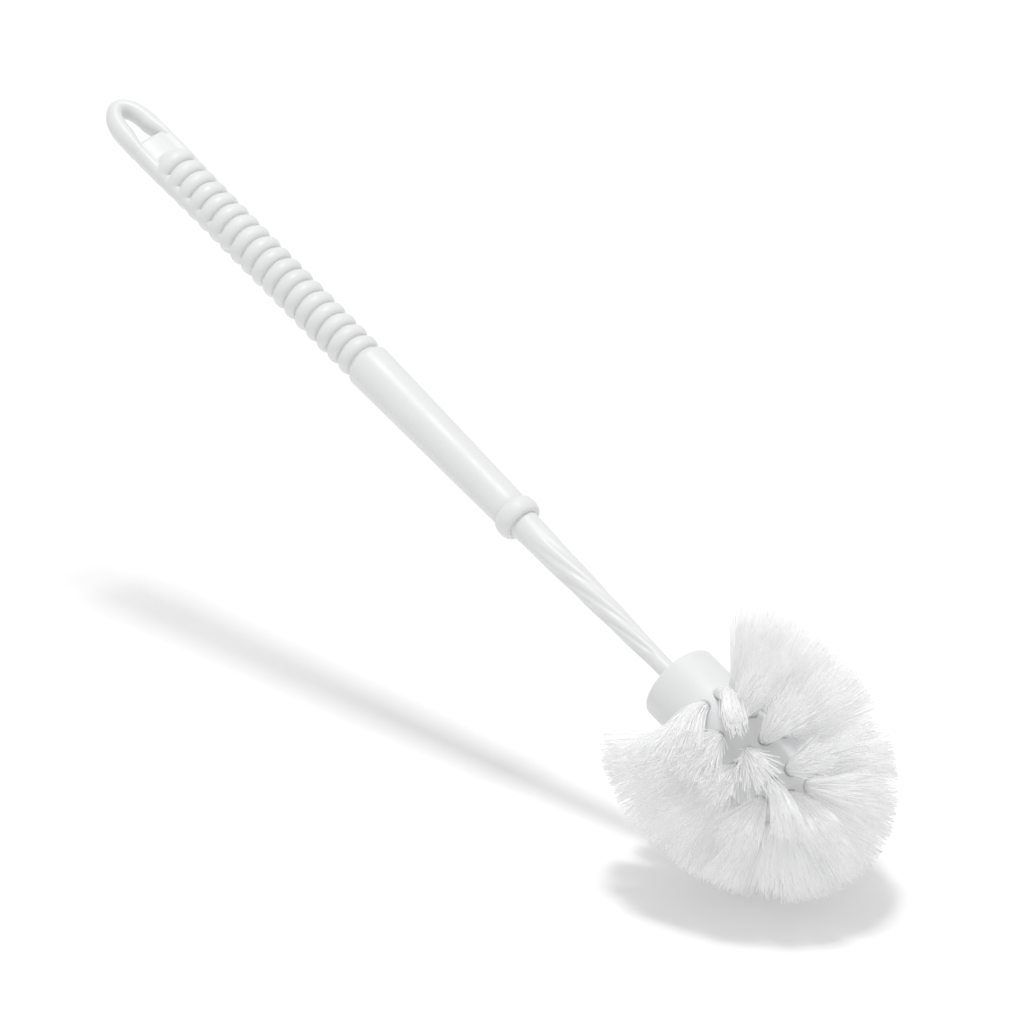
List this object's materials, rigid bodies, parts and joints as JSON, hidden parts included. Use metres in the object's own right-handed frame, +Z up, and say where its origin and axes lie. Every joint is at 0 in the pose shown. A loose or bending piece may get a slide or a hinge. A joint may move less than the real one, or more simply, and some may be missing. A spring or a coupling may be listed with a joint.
{
  "type": "toilet brush",
  "caption": "White plastic toilet brush: ribbed grip with a hanging loop, twisted shank and a rounded head of stapled bristle tufts.",
  "frame": {"origin": "the bristle tips at the nose of the head, on the brush's axis: the lowest point with the handle upright", "axes": "+Z up along the handle from the bristle nose to the hanging loop; the loop is wide along X and open through along Y"},
  "size_m": [0.0888, 0.0888, 0.3936],
  "materials": {
    "handle_plastic": "glossy moulded white plastic",
    "core_plastic": "glossy moulded white plastic",
    "bristle": "white drawn plastic filament",
    "anchor_metal": "bare flat wire"
  },
  "bodies": {
    "handle": {"grip": "handle_plastic", "shank": "handle_plastic"},
    "head": {"head_core": "core_plastic", "tuft_anchors": "anchor_metal", "tuft_row1_01": "bristle", "tuft_row1_02": "bristle", "tuft_row1_03": "bristle", "tuft_row1_04": "bristle", "tuft_row1_05": "bristle", "tuft_row1_06": "bristle", "tuft_row1_07": "bristle", "tuft_row1_08": "bristle", "tuft_row1_09": "bristle", "tuft_row1_10": "bristle", "tuft_row1_11": "bristle", "tuft_row1_12": "bristle", "tuft_row2_01": "bristle", "tuft_row2_02": "bristle", "tuft_row2_03": "bristle", "tuft_row2_04": "bristle", "tuft_row2_05": "bristle", "tuft_row2_06": "bristle", "tuft_row2_07": "bristle", "tuft_row2_08": "bristle", "tuft_row2_09": "bristle", "tuft_row2_10": "bristle", "tuft_row2_11": "bristle", "tuft_row2_12": "bristle", "tuft_row3_01": "bristle", "tuft_row3_02": "bristle", "tuft_row3_03": "bristle", "tuft_row3_04": "bristle", "tuft_row3_05": "bristle", "tuft_row3_06": "bristle", "tuft_row3_07": "bristle", "tuft_row3_08": "bristle", "tuft_row3_09": "bristle", "tuft_row3_10": "bristle", "tuft_row3_11": "bristle", "tuft_row3_12": "bristle", "tuft_row4_01": "bristle", "tuft_row4_02": "bristle", "tuft_row4_03": "bristle", "tuft_row4_04": "bristle", "tuft_row4_05": "bristle", "tuft_row4_06": "bristle", "tuft_row4_07": "bristle", "tuft_row4_08": "bristle", "tuft_row4_09": "bristle", "tuft_row4_10": "bristle", "tuft_row5_01": "bristle", "tuft_row5_02": "bristle", "tuft_row5_03": "bristle", "tuft_row5_04": "bristle", "tuft_row5_05": "bristle", "tuft_row5_06": "bristle", "tuft_row6_01": "bristle"}
  },
  "joints": [
    {"name": "head_release", "type": "slide", "parent": "handle", "child": "head", "axis": [0, 0, -1], "range_m": [0, 0.024]}
  ]
}
